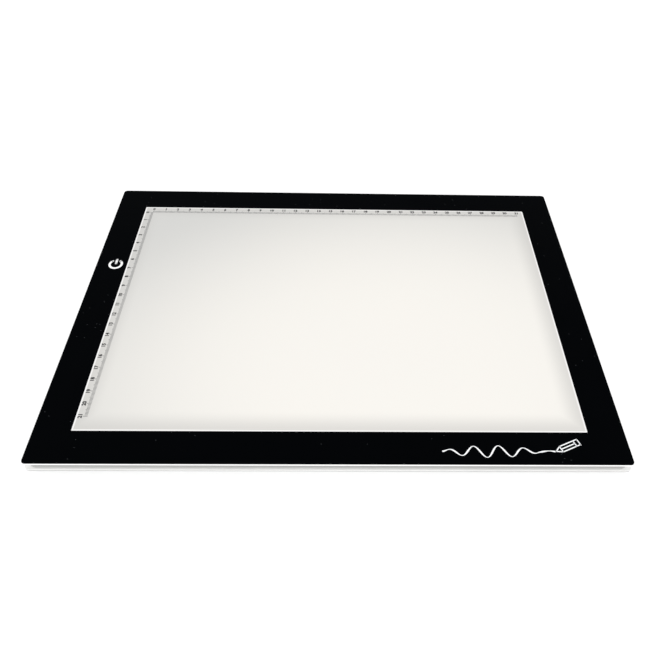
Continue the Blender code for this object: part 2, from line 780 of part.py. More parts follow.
def make_sprung_contact():
    """A bent leaf, fixed at its root deep in the jack, whose origin is on the line that it flexes about."""
    root, tip = CONTACT_ROOT_X, CONTACT_TIP_X
    bend = tip + CONTACT_BEND * (root - tip)
    inner = [(root, 0), (bend + CONTACT_RAMP, 0), (bend, -CONTACT_BUMP), (tip, CONTACT_LIP)]
    outer = [(x, y + CONTACT_THICKNESS) for x, y in reversed(inner)]
    outline = [(x - root, y) for x, y in inner + outer]
    half = CONTACT_HEIGHT / 2
    leaf = extruded("jack_sprung_contact", [outline], -half, half, "spring_metal")
    leaf.location = (root, CONTACT_Y, JACK_AXIS_Z)


clear_scene()
parts = new_collection("light_box")
cutters = new_collection("cutters")
make_top_panel()
make_border_overlay()
make_tapes()
make_sheets()
make_led_strip("led_strip_back", 1)
make_led_strip("led_strip_front", -1)
make_frame()
make_bottom_cover()
make_feet()
make_screws()
make_board()
make_board_parts()
make_touch_spring()
make_leads()
make_jack()
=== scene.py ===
"""A tracing light box on a white table, built round its CAD frame.

Metres, +Z up. Sizes and places come from the CAD nodes' boxes, and the rulers' from true centimetres.
"""

import math

import bmesh
import bpy
from mathutils import Matrix, Vector


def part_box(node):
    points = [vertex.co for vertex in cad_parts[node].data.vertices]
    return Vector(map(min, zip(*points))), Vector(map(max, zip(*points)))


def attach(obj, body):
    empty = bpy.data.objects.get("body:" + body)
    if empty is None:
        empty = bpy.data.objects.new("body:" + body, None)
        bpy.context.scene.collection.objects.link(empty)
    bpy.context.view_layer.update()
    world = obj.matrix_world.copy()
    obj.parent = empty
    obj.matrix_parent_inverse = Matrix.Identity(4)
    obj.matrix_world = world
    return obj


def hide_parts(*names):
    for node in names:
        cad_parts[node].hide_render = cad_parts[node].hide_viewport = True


MM = 0.001
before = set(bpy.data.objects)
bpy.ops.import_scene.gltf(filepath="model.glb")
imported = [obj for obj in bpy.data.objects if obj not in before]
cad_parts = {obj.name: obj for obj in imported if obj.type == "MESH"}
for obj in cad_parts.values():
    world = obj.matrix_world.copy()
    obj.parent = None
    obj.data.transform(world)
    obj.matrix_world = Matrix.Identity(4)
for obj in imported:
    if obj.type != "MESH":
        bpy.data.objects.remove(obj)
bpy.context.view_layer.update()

# ---------------------------------------------------------------- sizes
SHEET_BEVEL = 0.28 * MM
FILM_BEVEL = 0.08 * MM
WINDOW_BEVEL = 0.10 * MM
FRAME_BEVEL = 0.20 * MM
COVER_BEVEL = 0.45 * MM
OUTER_RADIUS = 2.6 * MM
FRAME_RADIUS = 7 * MM
WINDOW_RADIUS = 0.5 * MM
PAINT_LAP = 0.05 * MM  # a piece this much smaller than the one it lies on or in
SKIN_DROP = 0.02 * MM  # a face this much lower than the one beside it
WELD_DISTANCE = 0.001 * MM

GUIDE_OVERLAP = 4 * MM  # how far the diffuser runs past the window on each side
PAINTED_LIGHT_MIDDLE = Vector((55 * MM, -70 * MM))  # the middle of the painted pool of light on the window
# How far the painted pool of light on the window reaches.
PAINTED_LIGHT_REACH = Vector((230 * MM, 190 * MM))
# The width of the painted shade along the window's edge.
WINDOW_SHADE_WIDTH = 16 * MM
WINDOW_RIM = (0.8 * MM, 1.3 * MM)  # the pale rim fades between these distances from the edge

MOUTH_GAP = 0.3 * MM
MOUTH_HEADROOM = 0.1 * MM
MOUTH_DEPTH = 3 * MM
BAY_FRONT_GAP = 3 * MM
BAY_BACK_GAP = 5 * MM
RAIL_PAST = 1 * MM  # how far the rail's cutters run past its faces

COVER_SHADE = (0.40 * MM, 0.50 * MM)  # the shaded line ends between these heights above the underside

FOOT_COUNT = 6
FOOT_EDGE = 0.4 * MM
FOOT_EDGE_STEPS = 5
RECESS_GAP = 0.3 * MM  # round a foot
RECESS_HEADROOM = 0.1 * MM
RECESS_PAST = 2 * MM

SCREW_COUNT = 8
SCREW_SIDES = 40
SCREW_SHANK_RADIUS = 1 * MM
SCREW_HEAD_EDGE = (0.12 * MM, 0.10 * MM)  # how far its edge is cut back in width and in height
SCREW_HEAD_RIM = 0.16 * MM
SCREW_HEAD_DEPTH = 0.95 * MM
SCREW_TURN = 0.7  # radians from one screw's slot to the next one's
SLOT_REACH = 1.25 * MM
SLOT_HALF_WIDTH = 0.28 * MM
SLOT_DEPTH = 0.6 * MM
SLOT_PAST = 0.5 * MM
SINK_GAP = 0.3 * MM  # round a screw's head, at the cover's face
SINK_DEPTH = 0.85 * MM
SINK_PAST = 0.45 * MM
SCREW_HOLE_RADIUS = 1.3 * MM
SCREW_HOLE_LENGTH = 3 * MM
SCREW_HOLE_MIDDLE = 1 * MM  # above the cover's underside

JACK_BEVEL = 0.12 * MM
BORE_RADIUS = 1.25 * MM
BORE_DEPTH = 8.5 * MM
BORE_PAST = 1.1 * MM
LEAD_IN_RADII = (1.55 * MM, 1.15 * MM)
LEAD_IN_LENGTH = 0.6 * MM
LEAF_SLOT_MARGIN = Vector((0.5 * MM, 1 * MM, 0.3 * MM))
PIN_SIDES = 32
PIN_NOSE = ((0.6, 0.06 * MM), (1.0, 0.25 * MM))  # a share of its radius, and how far behind its tip

PRINT_LIFT = 0.015 * MM
PRINT_THICKNESS = 0.02 * MM

RULER_START = Vector((7.3 * MM, 7.1 * MM))  # the zeros' distance from the window's left and back edges
RULER_BASE = 7.3 * MM  # the inner ends of the ticks, from the window's edge
TICK_LENGTHS = {"centimetre": 2.9 * MM, "half": 2.5 * MM, "millimetre": 2.0 * MM}
TICK_WIDTH = 0.32 * MM
BACK_RULER_CM = 31
LEFT_RULER_CM = 21
DIGIT_SIZE = 3.5 * MM
DIGIT_BOLD = 0.15 * MM
DIGIT_CENTRE = 2.6 * MM

KEY_FROM_LEFT = 14.7 * MM
KEY_FROM_BACK = 96.8 * MM
KEY_RADIUS = 4.6 * MM
KEY_STROKE = 1.75 * MM
KEY_GAP = math.radians(40)  # either side of the ring's top
KEY_STEPS = 60
KEY_BAR = (0.9 * MM, 5.3 * MM)  # where the bar starts and ends, above the ring's centre

WAVE_START_X = 68 * MM
WAVE_END_X = 138 * MM
WAVE_COUNT = 4.5
WAVE_STEPS = 180
WAVE_HEIGHT = 4.2 * MM
WAVE_DROP = 2.4 * MM  # below the middle of the front border
WAVE_FADE = 1.15  # its swell ends at 1 / WAVE_FADE of its length
WAVE_SWELL_POWER = 0.7
WAVE_LEAST_SWELL = 0.12
WAVE_WIDTHS = (0.50 * MM, 1.10 * MM)

PENCIL_TILT = math.radians(24)
PENCIL_LINE = 0.75 * MM
# Along the pencil from the end of the wave, and across it, in millimetres.
PENCIL_POINT = 0.6
PENCIL_SHOULDER = 4.4
PENCIL_BAND = 14.6
PENCIL_END = 17.5
PENCIL_HALF = 2.1
PENCIL_END_HALF = 2.4
PENCIL_RIDGE_GAP = 0.2

ROUND_SIDES = 64
CORNER_STEPS = 12
DISC_SIDES = 24
BLOB_SIDES = 12
SMOOTH_ANGLE = math.radians(35)
BEVEL_ANGLE = math.radians(40)

FLOOR_RADIUS = 40
FLOOR_THICKNESS = 2 * MM
FLOOR_SIDES = 96

# ---------------------------------------------------------------- camera
CAMERA_AZIMUTH = math.radians(-2.107)
CAMERA_ELEVATION = math.radians(46.66)
CAMERA_ROLL = math.radians(-1.977)
CAMERA_PLACE = Vector((4.85 * MM, -350.72 * MM, 358.31 * MM))
CAMERA_LENS = 36.75
CAMERA_SHIFT_X = -0.0478
CAMERA_SHIFT_Y = -0.0031


# ---------------------------------------------------------------- materials
class Surface:
    """A Principled material, built node by node. Its textures use the object's own coordinates."""

    def __init__(self, name):
        self.material = bpy.data.materials.new(name)
        self.material.use_nodes = True
        self.tree = self.material.node_tree
        self.shader = self.tree.nodes["Principled BSDF"]
        self.place = self.tree.nodes.new("ShaderNodeTexCoord").outputs["Object"]

    def set(self, **values):
        for key, value in values.items():
            socket = self.shader.inputs[key.replace("_", " ")]
            socket.default_value = (*value, 1) if isinstance(value, tuple) else value
        return self

    def link(self, output, socket):
        self.tree.links.new(output, socket)

    def math(self, operation, first, second=None, third=None):
        node = self.tree.nodes.new("ShaderNodeMath")
        node.operation = operation
        for socket, value in zip(node.inputs, (first, second, third)):
            if value is None:
                continue
            if isinstance(value, (int, float)):
                socket.default_value = value
            else:
                self.link(value, socket)
        return node.outputs[0]

    def noise(self, scale, detail=3.0):
        node = self.tree.nodes.new("ShaderNodeTexNoise")
        node.inputs["Scale"].default_value = scale
        node.inputs["Detail"].default_value = detail
        self.link(self.place, node.inputs["Vector"])
        return node.outputs["Fac"]

    def remap(self, value, low, high, to_low, to_high, smooth=False):
        node = self.tree.nodes.new("ShaderNodeMapRange")
        node.interpolation_type = "SMOOTHSTEP" if smooth else "LINEAR"
        for socket, number in zip(node.inputs[1:5], (low, high, to_low, to_high)):
            socket.default_value = number
        self.link(value, node.inputs["Value"])
        return node.outputs["Result"]

    def mix(self, factor, first, second):
        node = self.tree.nodes.new("ShaderNodeMix")
        node.data_type = "RGBA"
        self.link(factor, node.inputs["Factor"])
        for name, value in (("A", first), ("B", second)):
            socket = next(s for s in node.inputs if s.name == name and s.type == "RGBA")
            if isinstance(value, tuple):
                socket.default_value = (*value, 1)
            else:
                self.link(value, socket)
        return next(s for s in node.outputs if s.type == "RGBA")

    def bump(self, height, strength, distance):
        node = self.tree.nodes.new("ShaderNodeBump")
        node.inputs["Strength"].default_value = strength
        node.inputs["Distance"].default_value = distance
        self.link(height, node.inputs["Height"])
        self.link(node.outputs["Normal"], self.shader.inputs["Normal"])

    def colour(self, output):
        self.link(output, self.shader.inputs["Base Color"])

    def roughness(self, scale, low, high):
        """Roughness that wanders between low and high, in patches set by the noise's scale."""
        self.link(self.remap(self.noise(scale), 0.3, 0.7, low, high), self.shader.inputs["Roughness"])

    def axes(self):
        node = self.tree.nodes.new("ShaderNodeSeparateXYZ")
        self.link(self.place, node.inputs[0])
        return node.outputs


def plain(name, low, high, roughness, metallic=0.0, grain=400.0, bump=0.0):
    """A surface whose colour wanders between two tones, with a fine grain."""
    surface = Surface(name).set(Metallic=metallic)
    surface.colour(surface.mix(surface.noise(grain / 8), low, high))
    surface.roughness(grain / 3, roughness - 0.04, roughness + 0.04)
    if bump:
        surface.bump(surface.noise(grain * 6), bump, 0.05 * MM)
    return surface.material


def border_material():
    """Black print with almost no shine, a very fine grain and a few specks of dust."""
    surface = Surface("border print").set(Specular_IOR_Level=0.005)
    tone = surface.mix(surface.noise(30.0), (0.0006, 0.0009, 0.0013), (0.0010, 0.0013, 0.0018))
    speck = surface.tree.nodes.new("ShaderNodeTexVoronoi")
    speck.voronoi_dimensions = "2D"
    speck.inputs["Scale"].default_value = 120.0
    surface.link(surface.place, speck.inputs["Vector"])
    small = surface.math("LESS_THAN", speck.outputs["Distance"], 0.022)
    rare = surface.math("GREATER_THAN", surface.noise(55.0), 0.59)
    dust = surface.math("MULTIPLY", small, rare)
    surface.colour(surface.mix(surface.math("MULTIPLY", dust, 0.5), tone, (0.20, 0.21, 0.22)))
    surface.roughness(90.0, 0.34, 0.42)
    surface.bump(surface.noise(2500.0), 0.15, 0.02 * MM)
    return surface.material


def window_material(half_x, half_y):
    """The unlit opal window, with a warm painted pool of light before its middle and painted shade at its
    margin, pale at its rim.
    """
    surface = Surface("opal window").set(Specular_IOR_Level=0.35)
    x, y, _ = surface.axes()
    # A painted pool of light: the tone is lighter and warmer round a point before the window's middle.
    from_x = surface.math("DIVIDE", surface.math("SUBTRACT", x, PAINTED_LIGHT_MIDDLE.x), PAINTED_LIGHT_REACH.x)
    from_y = surface.math("DIVIDE", surface.math("SUBTRACT", y, PAINTED_LIGHT_MIDDLE.y), PAINTED_LIGHT_REACH.y)
    reach = surface.math("MULTIPLY_ADD", from_x, from_x, surface.math("MULTIPLY", from_y, from_y))
    light = surface.remap(reach, 0.0, 1.5, 1.0, 0.0, smooth=True)
    tone = surface.mix(light, (0.590, 0.588, 0.570), (0.835, 0.812, 0.766))
    # Painted shade: the window's tone darkens towards its edge.
    gap_x = surface.math("SUBTRACT", half_x, surface.math("ABSOLUTE", x))
    gap_y = surface.math("SUBTRACT", half_y, surface.math("ABSOLUTE", y))
    gap = surface.math("MINIMUM", gap_x, gap_y)
    margin = surface.remap(gap, 0.0, WINDOW_SHADE_WIDTH, 0.60, 0.0, smooth=True)
    tone = surface.mix(margin, tone, (0.52, 0.51, 0.49))
    rim = surface.remap(gap, *WINDOW_RIM, 0.85, 0.0)
    tone = surface.mix(rim, tone, (0.88, 0.87, 0.86))
    cloud = surface.remap(surface.noise(9.0, 1.0), 0.3, 0.7, 0.0, 0.05)
    surface.colour(surface.mix(cloud, tone, (0.70, 0.70, 0.72)))
    surface.roughness(60.0, 0.30, 0.38)
    surface.bump(surface.noise(1800.0), 0.06, 0.02 * MM)
    return surface.material


def frame_material(bottom, top):
    """Translucent white moulding, with painted shade that greys it towards its top, under the lip of the
    panel.
    """
    surface = Surface("frame white").set(Specular_IOR_Level=0.35)
    _, _, z = surface.axes()
    # Painted shade under the panel's lip: the rail darkens from its bottom to its top.
    lip_shade = surface.remap(z, bottom, top, 0.0, 1.0)
    tone = surface.mix(lip_shade, (0.56, 0.56, 0.55), (0.13, 0.13, 0.13))
    cloud = surface.remap(surface.noise(40.0), 0.3, 0.7, 0.0, 0.10)
    surface.colour(surface.mix(cloud, tone, (0.40, 0.40, 0.40)))
    surface.roughness(150.0, 0.40, 0.48)
    surface.bump(surface.noise(2400.0), 0.10, 0.05 * MM)
    return surface.material


def cover_material(bottom):
    """White moulding, with a thin shaded line round its lower edge."""
    surface = Surface("cover white")
    _, _, z = surface.axes()
    above = surface.math("SUBTRACT", z, bottom)
    over_face = surface.remap(above, 0.02 * MM, 0.06 * MM, 0.0, 1.0)
    shade = surface.math("MULTIPLY", over_face, surface.remap(above, *COVER_SHADE, 1.0, 0.0))
    tone = surface.mix(surface.noise(50.0), (0.86, 0.86, 0.85), (0.92, 0.92, 0.91))
    surface.colour(surface.mix(shade, tone, (0.20, 0.20, 0.20)))
    surface.roughness(133.0, 0.46, 0.54)
    surface.bump(surface.noise(2400.0), 0.25, 0.05 * MM)
    return surface.material


def print_material(name, tone):
    surface = Surface(name).set(Specular_IOR_Level=0.2)
    darker = tuple(0.88 * part for part in tone)
    surface.colour(surface.mix(surface.noise(700.0), darker, tone))
    surface.roughness(200.0, 0.40, 0.50)
    return surface.material


# ---------------------------------------------------------------- shapes
def dress(piece, material, body="box"):
    """Gives a piece its material, and lets it ride on a CAD body."""
    piece.data.materials.clear()
    piece.data.materials.append(material)
    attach(piece, body)


def linked(name, mesh):
    made = bpy.data.objects.new(name, mesh)
    bpy.context.scene.collection.objects.link(made)
    return made


def mesh_from(name, build):
    mesh = bpy.data.meshes.new(name)
    shape = bmesh.new()
    build(shape)
    shape.to_mesh(mesh)
    shape.free()
    return linked(name, mesh)


def evaluated(piece):
    """The piece with its modifiers and curve made into a plain mesh."""
    bpy.context.view_layer.update()
    mesh = bpy.data.meshes.new_from_object(piece.evaluated_get(bpy.context.evaluated_depsgraph_get()))
    name = piece.name
    bpy.data.objects.remove(piece)
    mesh.name = name
    return linked(name, mesh)


def rounded_outline(low, high, radii):
    """Points of a rectangle, anticlockwise from its low corner. radii are its corners' in that order."""
    corners = (
        (low[0], low[1], 1, 1),
        (high[0], low[1], -1, 1),
        (high[0], high[1], -1, -1),
        (low[0], high[1], 1, -1),
    )
    points = []
    for i, ((x, y, inward_x, inward_y), radius) in enumerate(zip(corners, radii)):
        if radius == 0:
            points.append((x, y))
            continue
        centre = (x + inward_x * radius, y + inward_y * radius)
        for j in range(CORNER_STEPS + 1):
            turn = math.pi + (i + j / CORNER_STEPS) * math.pi / 2
            points.append((centre[0] + radius * math.cos(turn), centre[1] + radius * math.sin(turn)))
    return points


def centred_outline(half_x, half_y, radius):
    return rounded_outline((-half_x, -half_y), (half_x, half_y), [radius] * 4)


def plate(name, outlines, z_low, z_high, bevel=0.0, segments=3):
    """A plate from flat outlines, the first its edge and any other a hole, with softened edges."""
    curve = bpy.data.curves.new(name, "CURVE")
    curve.dimensions = "2D"
    curve.fill_mode = "BOTH"
    curve.extrude = (z_high - z_low) / 2
    for outline in outlines:
        spline = curve.splines.new("POLY")
        spline.points.add(len(outline) - 1)
        for point, (x, y) in zip(spline.points, outline):
            point.co = (x, y, 0, 1)
        spline.use_cyclic_u = True
    drawn = linked(name, curve)
    drawn.location.z = (z_low + z_high) / 2
    made = evaluated(drawn)
    made.data.transform(Matrix.Translation((0, 0, (z_low + z_high) / 2)))
    shape = bmesh.new()
    shape.from_mesh(made.data)
    bmesh.ops.remove_doubles(shape, verts=shape.verts, dist=WELD_DISTANCE)
    bmesh.ops.recalc_face_normals(shape, faces=shape.faces)
    shape.to_mesh(made.data)
    shape.free()
    return soften(made, bevel, segments) if bevel else made


def soften(piece, width, segments=3):
    bevel = piece.modifiers.new("Soft edges", "BEVEL")
    bevel.width = width
    bevel.segments = segments
    bevel.limit_method = "ANGLE"
    bevel.angle_limit = BEVEL_ANGLE
    return smooth(evaluated(piece))


def smooth(piece):
    """Smooth shading, broken at sharp edges. Level faces and broad ones square to an axis stay flat."""
    shape = bmesh.new()
    shape.from_mesh(piece.data)
    for face in shape.faces:
        level = abs(face.normal.z) > 0.9999
        broad = face.calc_area() > 20 * MM**2 and max(map(abs, face.normal)) > 0.9999
        face.smooth = not (level or broad)
    for edge in shape.edges:
        edge.smooth = len(edge.link_faces) == 2 and edge.calc_face_angle(0) < SMOOTH_ANGLE
    shape.to_mesh(piece.data)
    shape.free()
    return piece


def cut(piece, tools):
    for tool in tools:
        modifier = piece.modifiers.new("Cut", "BOOLEAN")
        modifier.operation = "DIFFERENCE"
        modifier.solver = "EXACT"
        modifier.object = tool
    made = evaluated(piece)
    for tool in tools:
        bpy.data.objects.remove(tool)
    return made


def cone(name, centre, low_radius, high_radius, length, axis="Z", sides=ROUND_SIDES):
    """A round solid about Z or X: a cylinder where the two radii are the same."""
    turn = Matrix.Rotation(math.pi / 2, 4, "Y") if axis == "X" else Matrix.Identity(4)

    def build(shape):
        bmesh.ops.create_cone(
            shape,
            cap_ends=True,
            segments=sides,
            radius1=low_radius,
            radius2=high_radius,
            depth=length,
            matrix=Matrix.Translation(centre) @ turn,
        )

    return mesh_from(name, build)


def block(name, low, high):
    low, high = Vector(low), Vector(high)

    def build(shape):
        to_size = Matrix.Diagonal((*(high - low), 1))
        bmesh.ops.create_cube(shape, size=1, matrix=Matrix.Translation((low + high) / 2) @ to_size)

    return mesh_from(name, build)


def ring_points(radius, sides):
    turns = [2 * math.pi * i / sides for i in range(sides)]
    return [(radius * math.cos(turn), radius * math.sin(turn)) for turn in turns]


def lathe(name, profile, place, sides=ROUND_SIDES):
    """A round solid from (radius, height) points about +Z, put in place by a matrix."""

    def build(shape):
        rings = []
        for radius, z in profile:
            if radius <= 0:
                rings.append([shape.verts.new((0, 0, z))])
                continue
            rings.append([shape.verts.new((x, y, z)) for x, y in ring_points(radius, sides)])
        for lower, upper in zip(rings, rings[1:]):
            for i in range(sides):
                j = (i + 1) % sides
                low_pair = [lower[i % len(lower)], lower[j % len(lower)]]
                high_pair = [upper[j % len(upper)], upper[i % len(upper)]]
                shape.faces.new(list(dict.fromkeys(low_pair + high_pair)))
        bmesh.ops.transform(shape, matrix=place, verts=shape.verts)
        bmesh.ops.recalc_face_normals(shape, faces=shape.faces)

    return smooth(mesh_from(name, build))


# ---------------------------------------------------------------- the outside
def make_panel():
    """The opal sheet, the window that stands on it and the black film round the window."""
    low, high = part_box("top_panel")
    film_low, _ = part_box("border_overlay")
    sheet_top = film_low.z - SKIN_DROP
    outer = centred_outline(high.x, high.y, OUTER_RADIUS)
    sheet = plate("panel_sheet", [outer], low.z, sheet_top, SHEET_BEVEL)
    dress(sheet, plain("opal sheet", (0.93, 0.93, 0.92), (0.97, 0.97, 0.96), 0.22))
    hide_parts("top_panel")
    half_x, half_y = window_half
    inner = centred_outline(half_x - PAINT_LAP, half_y - PAINT_LAP, WINDOW_RADIUS)
    window = plate("panel_window", [inner], sheet_top, window_top, WINDOW_BEVEL, 2)
    dress(window, window_material(half_x, half_y))
    film_edge = centred_outline(high.x - PAINT_LAP, high.y - PAINT_LAP, OUTER_RADIUS)
    film_hole = centred_outline(half_x, half_y, WINDOW_RADIUS)
    film = plate("border_film", [film_edge, film_hole], film_low.z, high.z, FILM_BEVEL, 2)
    dress(film, border_material())
    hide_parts("border_overlay")


def make_frame_rails():
    """The four rails. The long ones have rounded outer corners, and the left one is opened."""
    low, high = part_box("frame_rail_back")
    material = frame_material(low.z, high.z)
    round_corners = {"back": (0, 0, 1, 1), "front": (1, 1, 0, 0)}
    for side in ("back", "front", "left", "right"):
        low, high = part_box(f"frame_rail_{side}")
        radii = [FRAME_RADIUS * corner for corner in round_corners.get(side, (0, 0, 0, 0))]
        rail = plate(f"rail_{side}", [rounded_outline(low, high, radii)], low.z, high.z)
        if side == "left":
            rail = cut(rail, left_rail_cutters(low, high))
        rail = soften(rail, FRAME_BEVEL, 2)
        dress(rail, material)
        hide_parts(f"frame_rail_{side}")


def left_rail_cutters(low, high):
    """Blocks for the jack's mouth and the board's bay, in the rail between low and high."""
    jack_low, jack_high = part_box("jack_body")
    board_low, board_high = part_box("control_board")
    mouth = block(
        "mouth",
        (low.x - RAIL_PAST, jack_low.y - MOUTH_GAP, low.z - RAIL_PAST),
        (low.x + MOUTH_DEPTH, jack_high.y + MOUTH_GAP, jack_high.z + MOUTH_HEADROOM),
    )
    bay = block(
        "bay",
        (board_low.x - MOUTH_GAP, board_low.y - BAY_FRONT_GAP, low.z - RAIL_PAST),
        (high.x + RAIL_PAST, board_high.y + BAY_BACK_GAP, high.z + RAIL_PAST),
    )
    return [mouth, bay]


def make_cover():
    """The bottom cover, with a recess for each foot and a countersunk hole for each screw."""
    low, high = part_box("bottom_cover")
    outer = centred_outline(high.x, high.y, OUTER_RADIUS)
    cover = plate("cover_shell", [outer], low.z, high.z, COVER_BEVEL)
    tools = []
    for i in range(1, FOOT_COUNT + 1):
        middle, foot_radius, foot_top = plan("rubber_foot", i)
        radius = foot_radius + RECESS_GAP
        depth = foot_top - low.z + RECESS_HEADROOM
        centre = (middle.x, middle.y, low.z + (depth - RECESS_PAST) / 2)
        tools.append(cone(f"recess_{i}", centre, radius, radius, depth + RECESS_PAST))
    for i in range(1, SCREW_COUNT + 1):
        middle, head_radius, _ = plan("cover_screw", i)
        mouth = head_radius + SINK_GAP
        centre = (middle.x, middle.y, low.z + (SINK_DEPTH - SINK_PAST) / 2)
        length = SINK_DEPTH + SINK_PAST
        tools.append(cone(f"sink_{i}", centre, mouth + SINK_PAST, mouth - SINK_DEPTH, length))
        centre = (middle.x, middle.y, low.z + SCREW_HOLE_MIDDLE)
        radius = SCREW_HOLE_RADIUS
        tools.append(cone(f"hole_{i}", centre, radius, radius, SCREW_HOLE_LENGTH))
    cover = smooth(cut(cover, tools))
    dress(cover, cover_material(low.z))
    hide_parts("bottom_cover")


def plan(start, i):
    """The middle of the underside, the radius and the top of a round CAD node with a number."""
    low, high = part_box(f"{start}_{i}")
    middle = Vector(((low.x + high.x) / 2, (low.y + high.y) / 2, low.z))
    return middle, (high.x - low.x) / 2, high.z


def make_feet():
    rubber = plain("foot rubber", (0.26, 0.26, 0.27), (0.36, 0.36, 0.37), 0.85, bump=0.4)
    for i in range(1, FOOT_COUNT + 1):
        middle, radius, top = plan("rubber_foot", i)
        profile = [(0, 0), (radius - FOOT_EDGE, 0)]
        for step in range(1, FOOT_EDGE_STEPS + 1):
            turn = step / FOOT_EDGE_STEPS * math.pi / 2
            out, up = FOOT_EDGE * (math.sin(turn) - 1), FOOT_EDGE * (1 - math.cos(turn))
            profile.append((radius + out, up))
        profile += [(radius, top), (0, top)]
        foot = lathe(f"foot_pad_{i}", profile, Matrix.Translation((middle.x, middle.y, 0)))
        dress(foot, rubber)
        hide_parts(f"rubber_foot_{i}")


def make_screws():
    """Countersunk screws, each with a cross recess at its own turn."""
    steel = plain("zinc plate", (0.60, 0.60, 0.62), (0.74, 0.74, 0.76), 0.28, metallic=1.0, grain=2000.0)
    for i in range(1, SCREW_COUNT + 1):
        middle, radius, top = plan("cover_screw", i)
        tip = top - middle.z
        profile = [
            (0, 0),
            (radius - SCREW_HEAD_EDGE[0], 0),
            (radius, SCREW_HEAD_EDGE[1]),
            (radius, SCREW_HEAD_RIM),
            (SCREW_SHANK_RADIUS, SCREW_HEAD_DEPTH),
            (SCREW_SHANK_RADIUS, tip),
            (0, tip),
        ]
        place = Matrix.Translation(middle)
        screw = lathe(f"screw_head_{i}", profile, place, SCREW_SIDES)
        slots = []
        for name, x, y in (("a", SLOT_REACH, SLOT_HALF_WIDTH), ("b", SLOT_HALF_WIDTH, SLOT_REACH)):
            slot = block(f"slot_{name}_{i}", (-x, -y, -SLOT_PAST), (x, y, SLOT_DEPTH))
            slot.data.transform(place @ Matrix.Rotation(SCREW_TURN * i, 4, "Z"))
            slots.append(slot)
        screw = smooth(cut(screw, slots))
        dress(screw, steel)
        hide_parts(f"cover_screw_{i}")


def make_jack():
    """The jack's body, bored for a plug and slotted for the sprung contact, and its centre pin."""
    low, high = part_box("jack_body")
    pin_low, pin_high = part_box("jack_centre_pin")
    leaf_low, leaf_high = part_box("jack_sprung_contact")
    middle = (pin_low + pin_high) / 2
    shell = soften(block("jack_shell", low, high), JACK_BEVEL, 2)
    centre = (low.x + (BORE_DEPTH - BORE_PAST) / 2, middle.y, middle.z)
    bore = cone("bore", centre, BORE_RADIUS, BORE_RADIUS, BORE_DEPTH + BORE_PAST, "X")
    lead_in = cone("lead_in", (low.x, middle.y, middle.z), *LEAD_IN_RADII, LEAD_IN_LENGTH, "X")
    margin = LEAF_SLOT_MARGIN
    slot = block(
        "leaf_slot",
        (leaf_low.x - margin.x, middle.y, leaf_low.z - margin.z),
        (leaf_high.x + margin.x, high.y + margin.y, leaf_high.z + margin.z),
    )
    shell = smooth(cut(shell, [bore, lead_in, slot]))
    dress(shell, plain("jack black", (0.020, 0.020, 0.021), (0.030, 0.030, 0.031), 0.40))
    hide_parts("jack_body")
    radius = (pin_high.z - pin_low.z) / 2
    length = pin_high.x - pin_low.x
    nose = [(share * radius, behind) for share, behind in PIN_NOSE]
    profile = [(0, 0), *nose, (radius, length), (0, length)]
    place = Matrix.Translation((pin_low.x, middle.y, middle.z)) @ Matrix.Rotation(math.pi / 2, 4, "Y")
    pin = lathe("jack_pin", profile, place, PIN_SIDES)
    metal = plain("nickel", (0.72, 0.69, 0.60), (0.82, 0.79, 0.70), 0.22, metallic=1.0, grain=2000.0)
    dress(pin, metal)
    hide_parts("jack_centre_pin")


# ---------------------------------------------------------------- what is printed on it
def flat_print(name, polygons, z, material):
    """Very thin solids over flat convex outlines, as one mesh."""

    def build(shape):
        for outline in polygons:
            lower = [shape.verts.new((x, y, z + PRINT_LIFT)) for x, y in outline]
            upper = [shape.verts.new((x, y, z + PRINT_LIFT + PRINT_THICKNESS)) for x, y in outline]
            shape.faces.new(lower[::-1])
            shape.faces.new(upper)
            for i in range(len(outline)):
                j = (i + 1) % len(outline)
                shape.faces.new((lower[i], lower[j], upper[j], upper[i]))
        bmesh.ops.recalc_face_normals(shape, faces=shape.faces)

    dress(mesh_from(name, build), material)


def tick_polygons(count, place):
    """The ticks' outlines. place turns (distance along, distance from the window's edge) into a point."""
    polygons = []
    for i in range(10 * count + 1):
        kind = "centimetre" if i % 10 == 0 else "half" if i % 5 == 0 else "millimetre"
        start, end = i * MM - TICK_WIDTH / 2, i * MM + TICK_WIDTH / 2
        inner, outer = RULER_BASE, RULER_BASE - TICK_LENGTHS[kind]
        corners = ((start, inner), (end, inner), (end, outer), (start, outer))
        polygons.append([place(*corner) for corner in corners])
    return polygons


def digits(name, value, centre, turn):
    """The solid digits of a number, centred on a point and turned about Z."""
    curve = bpy.data.curves.new(name, "FONT")
    curve.body = str(value)
    curve.size = DIGIT_SIZE
    curve.align_x = "CENTER"
    curve.align_y = "CENTER"
    curve.extrude = PRINT_THICKNESS / 2
    curve.offset = DIGIT_BOLD
    curve.resolution_u = 4
    made = evaluated(linked(name, curve))
    points = [vertex.co for vertex in made.data.vertices]
    middle = Vector([(min(p[i] for p in points) + max(p[i] for p in points)) / 2 for i in range(3)])
    matrix = Matrix.Translation(centre) @ Matrix.Rotation(turn, 4, "Z") @ Matrix.Translation(-middle)
    made.data.transform(matrix)
    return made


def join_as(name, pieces, material):
    """One piece made of several."""
    shape = bmesh.new()
    for piece in pieces:
        shape.from_mesh(piece.data)
        bpy.data.objects.remove(piece)
    mesh = bpy.data.meshes.new(name)
    shape.to_mesh(mesh)
    shape.free()
    dress(linked(name, mesh), material)


